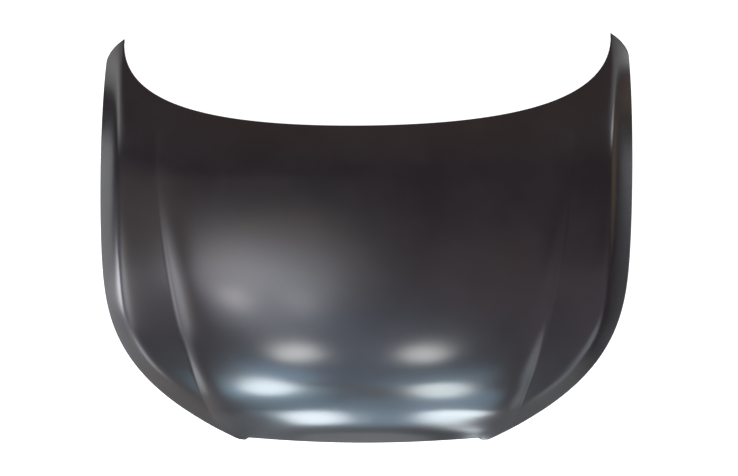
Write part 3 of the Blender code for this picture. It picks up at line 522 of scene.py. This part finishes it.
class Ring:
    """A closed anticlockwise plan outline that can be stepped inboard.

    Its room, at each point, is the radius of the largest circle inside that touches the outline there.
    """

    def __init__(self, form, points):
        self.form, self.points = form, points
        after = np.roll(points, -1, axis=0) - points
        after = after / np.linalg.norm(after, axis=1, keepdims=True)
        inward = np.stack([-after[:, 1], after[:, 0]], axis=1)
        before = np.roll(inward, 1, axis=0)
        turn = (inward * before).sum(axis=1, keepdims=True)
        self.mitre = (inward + before) / (1 + turn)
        self.inward = self.mitre / np.linalg.norm(self.mitre, axis=1, keepdims=True)
        gaps = points[None] - points[:, None]
        lead = (gaps * self.inward[:, None]).sum(axis=2)
        reach = (gaps ** 2).sum(axis=2) / np.maximum(2 * lead, LEAST_LEAD)
        self.room = np.where(lead > LEAST_LEAD, reach, np.inf).min(axis=1)

    def stepped(self, width):
        """Plan points a width inboard, measured over the surface."""
        x, y = self.points[:, 0], self.points[:, 1]
        up = self.form.normal(x, y)
        fall = (up[:, :2] * self.inward).sum(axis=1) / up[:, 2]
        moved = self.points + self.mitre * (width / np.sqrt(1 + fall ** 2))[:, None]
        return moved[:, 0], moved[:, 1]


def hem_rows(form, ring, sheet):
    """Rows round the fold, from the skin's rim to the end of the return flange.

    The fold holds three sheets with adhesive between them. Near the ear tips there is no room for
    the return, so the hem opens to a short flange there.
    """
    radius = (3 * sheet.gauge + 2 * sheet.hem_gap) / 2
    closed = ease((ring.room - sheet.hem_opens) / sheet.hem_opens)
    fold = math.pi / 2 * (1 + closed)
    reach = np.minimum(sheet.hem_width, sheet.hem_share * ring.room) - radius
    reach = np.maximum(reach * closed, 2 * radius)
    turns = [fold * k / sheet.fold_steps for k in range(sheet.fold_steps + 1)]
    rows = [(radius * (1 - np.sin(turn)), radius * (1 - np.cos(turn))) for turn in turns]
    width, depth = rows[-1]
    rows.append((width - reach * np.cos(fold), depth + reach * np.sin(fold)))
    return [form.under(*ring.stepped(width), depth) for width, depth in rows]


def settle_order(bm):
    """Orders the edges and faces by their vertices, because extruding doesn't always keep one order."""
    bm.verts.index_update()
    for parts in (bm.edges, bm.faces):
        corners = {part: [vert.index for vert in part.verts] for part in parts}
        parts.sort(key=lambda part: min(corners[part]) * len(bm.verts) + max(corners[part]))


def add_piece(name, bm, material, replaced):
    """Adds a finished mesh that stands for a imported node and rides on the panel."""
    mesh = bpy.data.meshes.new(name)
    bm.to_mesh(mesh)
    bm.free()
    mesh.materials.append(material)
    mesh.shade_smooth()
    piece = bpy.data.objects.new(name, mesh)
    bpy.context.scene.collection.objects.link(piece)
    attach(piece, "root")
    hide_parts(replaced)
    return piece


def link(tree, source, out, target, socket):
    """Joins an output to an input, each given by its name or number."""
    tree.links.new(source.outputs[out], target.inputs[socket])


def add_node(tree, kind, **values):
    """A shader node with its properties, and its sockets by name, set."""
    node = tree.nodes.new(kind)
    for name, value in values.items():
        if hasattr(node, name):
            setattr(node, name, value)
        else:
            node.inputs[name.replace("_", " ")].default_value = value
    return node


def new_material(name):
    """A material, its node tree and its shader."""
    made = bpy.data.materials.new(name)
    made.use_nodes = True
    return made, made.node_tree, made.node_tree.nodes["Principled BSDF"]


def grain_group():
    """A cloudy mask and a fine grain, both fixed to the piece."""
    tree = bpy.data.node_groups.get("Grain")
    if tree:
        return tree
    tree = bpy.data.node_groups.new("Grain", "ShaderNodeTree")
    given, result = add_node(tree, "NodeGroupInput"), add_node(tree, "NodeGroupOutput")
    place = add_node(tree, "ShaderNodeTexCoord")
    for name, detail in (("Cloud", 5.0), ("Grain", 3.0)):
        tree.interface.new_socket(f"{name} Scale", in_out="INPUT", socket_type="NodeSocketFloat")
        tree.interface.new_socket(name, in_out="OUTPUT", socket_type="NodeSocketFloat")
        noise = add_node(tree, "ShaderNodeTexNoise", Detail=detail, Roughness=0.6)
        spread = add_node(tree, "ShaderNodeMapRange", interpolation_type="SMOOTHSTEP",
                          From_Min=0.3, From_Max=0.7)
        link(tree, place, "Object", noise, "Vector")
        link(tree, given, f"{name} Scale", noise, "Scale")
        link(tree, noise, "Fac", spread, "Value")
        link(tree, spread, "Result", result, name)
    return tree


def clouded_material(name, colours, roughness, scales, bump):
    """A finish whose colour and roughness drift between two values, with a fine grain in relief.

    The colours and the roughness are given as (low, high), the scales as (cloud, grain) and the bump
    as (strength, depth).
    """
    made, tree, shader = new_material(name)
    cloud_scale, grain_scale = scales
    smoothest, roughest = roughness
    strength, depth = bump
    grain = add_node(tree, "ShaderNodeGroup", node_tree=grain_group(),
                     Cloud_Scale=cloud_scale, Grain_Scale=grain_scale)
    tint = add_node(tree, "ShaderNodeMix", data_type="RGBA")
    for socket, value in zip((MIX_A, MIX_B), colours):
        tint.inputs[socket].default_value = (*value, 1)
    gloss = add_node(tree, "ShaderNodeMapRange", To_Min=smoothest, To_Max=roughest)
    relief = add_node(tree, "ShaderNodeBump", Strength=strength, Distance=depth)
    link(tree, grain, "Cloud", tint, 0)
    link(tree, grain, "Cloud", gloss, "Value")
    link(tree, grain, "Grain", relief, "Height")
    link(tree, tint, MIX_RESULT, shader, "Base Color")
    link(tree, gloss, "Result", shader, "Roughness")
    link(tree, relief, "Normal", shader, "Normal")
    return made, shader


def shades(middle, spread):
    """The middle colour made darker and lighter by the spread, as a share."""
    return [[part * (1 + sign * spread) for part in middle] for sign in (-1, 1)]


def primer_material(finish):
    """Black electro-coat: satin, faintly mottled, with a fine orange peel."""
    rough = finish.primer_roughness
    made, shader = clouded_material(PRIMER, colours=shades(finish.primer, spread=0.12),
                                    roughness=(rough - 0.03, rough + 0.04), scales=(7, 420),
                                    bump=(0.05, 0.0004))
    shader.inputs["Specular IOR Level"].default_value = 0.12
    shader.inputs["Coat Weight"].default_value = 1
    shader.inputs["Coat Roughness"].default_value = finish.coat_roughness
    return made


def plated_material(finish):
    """Zinc plate: grey with warmer clouds and a dull grain."""
    made, shader = clouded_material("Plated steel", colours=(finish.plated, finish.plated_cloud),
                                    roughness=(0.26, 0.44), scales=(55, 900), bump=(0.10, 0.0001))
    shader.inputs["Metallic"].default_value = 1
    return made


def mastic_material(finish):
    """Rubbery mastic: matt, uneven and slightly pitted."""
    made, _ = clouded_material("Mastic", colours=shades(finish.mastic, spread=0.35),
                               roughness=(0.68, 0.88), scales=(90, 600), bump=(0.5, 0.0006))
    return made


def piece_material(name, primer, plated, mastic):
    """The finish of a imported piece, by the first word of its name."""
    if name.startswith("mastic"):
        return mastic
    if name.startswith("striker"):
        return plated
    return primer


class BONNET_OT_skin(bpy.types.Operator):
    """Models the outer skin with its folded edge"""
    bl_idname = "bonnet.skin"
    bl_label = "Outer skin"

    def execute(self, context):
        scene = context.scene
        sheet = scene.bonnet_sheet
        form = Form(scene.bonnet_outline, scene.bonnet_crown)
        u, v = form.grid(sheet)
        rows, columns = sheet.rows, u.shape[1] - 1
        places = border_places(rows, columns)
        rim = np.array([(u[j, i], v[j]) for j, i in places])
        ring = Ring(form, np.stack(form.plan(rim[:, 0], rim[:, 1]), axis=1))
        hem = hem_rows(form, ring, sheet)
        lift = np.array([0, 0, -min(row[:, 2].min() for row in hem)])
        first, *folded = [row + lift for row in hem]
        points = form.surface(u, np.broadcast_to(v[:, None], u.shape)) + lift
        for place, point in zip(places, first):
            points[place] = point

        bm = bmesh.new()
        station = bm.verts.layers.int.new("station")
        station_at = {place: n for n, place in enumerate(places)}
        bmesh.ops.create_grid(bm, x_segments=columns, y_segments=rows, size=1)
        for vert in bm.verts:
            i, j = round((vert.co.x + 1) / 2 * columns), round((vert.co.y + 1) / 2 * rows)
            vert.co = points[j, i]
            vert[station] = station_at.get((j, i), 0)
        self.fold(bm, station, folded)
        settle_order(bm)
        bmesh.ops.recalc_face_normals(bm, faces=bm.faces)
        top = max(bm.faces, key=lambda face: face.calc_center_median().z)
        if top.normal.z < 0:
            bmesh.ops.reverse_faces(bm, faces=bm.faces)
        bm.verts.layers.int.remove(bm.verts.layers.int["station"])
        skin = add_piece("skin", bm, bpy.data.materials[PRIMER], "outer_skin")
        wall = skin.modifiers.new("Gauge", "SOLIDIFY")
        wall.thickness = sheet.gauge
        wall.offset = -1
        return {"FINISHED"}

    def fold(self, bm, station, rows):
        """Grows the skin's edge through the hem's rows."""
        edges = [edge for edge in bm.edges if edge.is_boundary]
        for row in rows:
            grown = bmesh.ops.extrude_edge_only(bm, edges=edges)["geom"]
            edges = [part for part in grown if isinstance(part, bmesh.types.BMEdge) and part.is_boundary]
            for vert in {vert for edge in edges for vert in edge.verts}:
                vert.co = row[vert[station]]


class BONNET_OT_finishes(bpy.types.Operator):
    """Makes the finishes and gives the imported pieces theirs"""
    bl_idname = "bonnet.finishes"
    bl_label = "Finishes"

    def execute(self, context):
        finish = context.scene.bonnet_finish
        primer, plated, mastic = primer_material(finish), plated_material(finish), mastic_material(finish)
        for name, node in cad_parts.items():
            for slot in node.material_slots:
                slot.material = piece_material(name, primer, plated, mastic)
        return {"FINISHED"}


def direction(azimuth, elevation):
    """Unit vector at an azimuth from the front towards +X and an elevation above the horizon."""
    level = math.cos(elevation)
    return Vector((math.sin(azimuth) * level, -math.cos(azimuth) * level, math.sin(elevation)))


def camera_axes(studio):
    """Right, up and back of the camera."""
    back = direction(studio.azimuth, studio.elevation)
    level = (-back).cross(Vector((0, 0, 1))).normalized()
    rise = level.cross(-back)
    right = level * math.cos(studio.roll) + rise * math.sin(studio.roll)
    return right, back.cross(right), back


def glow_group():
    """Adds a soft round light, seen in one direction, to the light before it."""
    tree = bpy.data.node_groups.new("Glow", "ShaderNodeTree")
    for name in ("Direction", "Toward", "Light", "Before"):
        tree.interface.new_socket(name, in_out="INPUT", socket_type="NodeSocketVector")
    for name in ("Edge", "Core"):
        tree.interface.new_socket(name, in_out="INPUT", socket_type="NodeSocketFloat")
    tree.interface.new_socket("Total", in_out="OUTPUT", socket_type="NodeSocketVector")
    given, result = add_node(tree, "NodeGroupInput"), add_node(tree, "NodeGroupOutput")
    unit = add_node(tree, "ShaderNodeVectorMath", operation="NORMALIZE")
    facing = add_node(tree, "ShaderNodeVectorMath", operation="DOT_PRODUCT")
    fade = add_node(tree, "ShaderNodeMapRange", interpolation_type="SMOOTHSTEP")
    lit = add_node(tree, "ShaderNodeVectorMath", operation="SCALE")
    total = add_node(tree, "ShaderNodeVectorMath", operation="ADD")
    link(tree, given, "Direction", unit, 0)
    link(tree, unit, "Vector", facing, 0)
    link(tree, given, "Toward", facing, 1)
    link(tree, facing, "Value", fade, "Value")
    link(tree, given, "Edge", fade, "From Min")
    link(tree, given, "Core", fade, "From Max")
    link(tree, given, "Light", lit, 0)
    link(tree, fade, "Result", lit, "Scale")
    link(tree, lit, "Vector", total, 0)
    link(tree, given, "Before", total, 1)
    link(tree, total, "Vector", result, "Total")
    return tree


class BONNET_OT_studio(bpy.types.Operator):
    """Sets up the camera, the floor and the lamps"""
    bl_idname = "bonnet.studio"
    bl_label = "Studio"

    def execute(self, context):
        studio = context.scene.bonnet_studio
        self.camera(context, studio)
        self.floor(context, studio)
        self.lamps(context, studio)
        self.world(context)
        context.scene.view_settings.view_transform = "Standard"
        return {"FINISHED"}

    def camera(self, context, studio):
        """Stands the camera where the panel's outline says that the photo was taken."""
        data = bpy.data.cameras.new("Camera")
        data.lens = studio.lens
        data.sensor_width = SENSOR_WIDTH
        camera = bpy.data.objects.new("Camera", data)
        context.scene.collection.objects.link(camera)
        right, up, back = camera_axes(studio)
        place = Matrix((right, up, back)).transposed().to_4x4()
        place.translation = Vector(studio.aim) + back * studio.distance
        camera.matrix_world = place
        context.scene.camera = camera

    def floor(self, context, studio):
        """A wide pale floor."""
        bm = bmesh.new()
        bmesh.ops.create_grid(bm, x_segments=1, y_segments=1, size=studio.floor_half)
        bmesh.ops.translate(bm, vec=(0, 0, -studio.floor_gap), verts=bm.verts)
        mesh = bpy.data.meshes.new("Floor")
        bm.to_mesh(mesh)
        bm.free()
        made, _, shader = new_material("Floor")
        shader.inputs["Base Color"].default_value = (*studio.floor, 1)
        shader.inputs["Roughness"].default_value = 0.9
        shader.inputs["Specular IOR Level"].default_value = 0
        shader.inputs["Emission Color"].default_value = (1, 1, 1, 1)
        shader.inputs["Emission Strength"].default_value = studio.floor_glow
        mesh.materials.append(made)
        floor = bpy.data.objects.new("Floor", mesh)
        context.scene.collection.objects.link(floor)

    def lamps(self, context, studio):
        """Each lamp is two ovals, one inside the other, that share its brightness in the middle.

        An oval's power is its brightness times pi times its area.
        """
        for name, lamp in LAMPS.items():
            for size in (1, studio.lamp_core):
                data = bpy.data.lights.new(f"Lamp {name}", "AREA")
                data.shape = "ELLIPSE"
                data.size, data.size_y = lamp.width * size, lamp.depth * size
                level = max(lamp.light)
                data.color = [part / level for part in lamp.light]
                data.energy = level / 2 * math.pi * (math.pi / 4 * data.size * data.size_y)
                made = bpy.data.objects.new(data.name, data)
                made.location = (lamp.x, lamp.y, studio.ceiling)
                made.rotation_euler.z = math.radians(lamp.turn)
                made.visible_camera = False
                context.scene.collection.objects.link(made)

    def world(self, context):
        """Soft glows in the dark, where the camera itself sees plain white."""
        world = bpy.data.worlds.new("Studio")
        world.use_nodes = True
        tree = world.node_tree
        place = add_node(tree, "ShaderNodeTexCoord")
        group = glow_group()
        total = None
        for name, glow in GLOWS.items():
            node = add_node(tree, "ShaderNodeGroup", node_tree=group, label=name)
            toward = direction(math.radians(glow.azimuth), math.radians(glow.elevation))
            node.inputs["Toward"].default_value = toward
            node.inputs["Edge"].default_value = math.cos(math.radians(glow.edge))
            node.inputs["Core"].default_value = math.cos(math.radians(glow.core))
            node.inputs["Light"].default_value = glow.light
            link(tree, place, "Generated", node, "Direction")
            if total:
                link(tree, total, "Total", node, "Before")
            total = node
        path = add_node(tree, "ShaderNodeLightPath")
        seen = add_node(tree, "ShaderNodeMix", data_type="RGBA")
        link(tree, path, "Is Camera Ray", seen, 0)
        link(tree, total, "Total", seen, MIX_A)
        seen.inputs[MIX_B].default_value = (1, 1, 1, 1)
        link(tree, seen, MIX_RESULT, tree.nodes["Background"], "Color")
        context.scene.world = world


class BONNET_PT_panel(bpy.types.Panel):
    """Lists the bonnet's settings and steps"""
    bl_label = "Bonnet"
    bl_idname = "BONNET_PT_panel"
    bl_space_type = "VIEW_3D"
    bl_region_type = "UI"
    bl_category = "Bonnet"

    def draw(self, context):
        for step in STEPS:
            self.layout.operator(step.bl_idname)
        for name in GROUPS:
            box = self.layout.box()
            settings = getattr(context.scene, name)
            for prop in settings.bl_rna.properties:
                if prop.identifier not in ("rna_type", "name"):
                    box.prop(settings, prop.identifier)


GROUPS = {
    "bonnet_outline": OutlineSettings,
    "bonnet_crown": CrownSettings,
    "bonnet_sheet": SheetSettings,
    "bonnet_finish": FinishSettings,
    "bonnet_studio": StudioSettings,
}
STEPS = (BONNET_OT_finishes, BONNET_OT_skin, BONNET_OT_studio)


def register():
    for name, group in GROUPS.items():
        bpy.utils.register_class(group)
        setattr(bpy.types.Scene, name, PointerProperty(type=group))
    for step in STEPS:
        bpy.utils.register_class(step)
    bpy.utils.register_class(BONNET_PT_panel)


def unregister():
    bpy.utils.unregister_class(BONNET_PT_panel)
    for step in reversed(STEPS):
        bpy.utils.unregister_class(step)
    for name, group in reversed(GROUPS.items()):
        delattr(bpy.types.Scene, name)
        bpy.utils.unregister_class(group)


def main():
    register()
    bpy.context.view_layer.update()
    bpy.ops.bonnet.finishes()
    bpy.ops.bonnet.skin()
    bpy.ops.bonnet.studio()


if __name__ == "__main__":
    main()
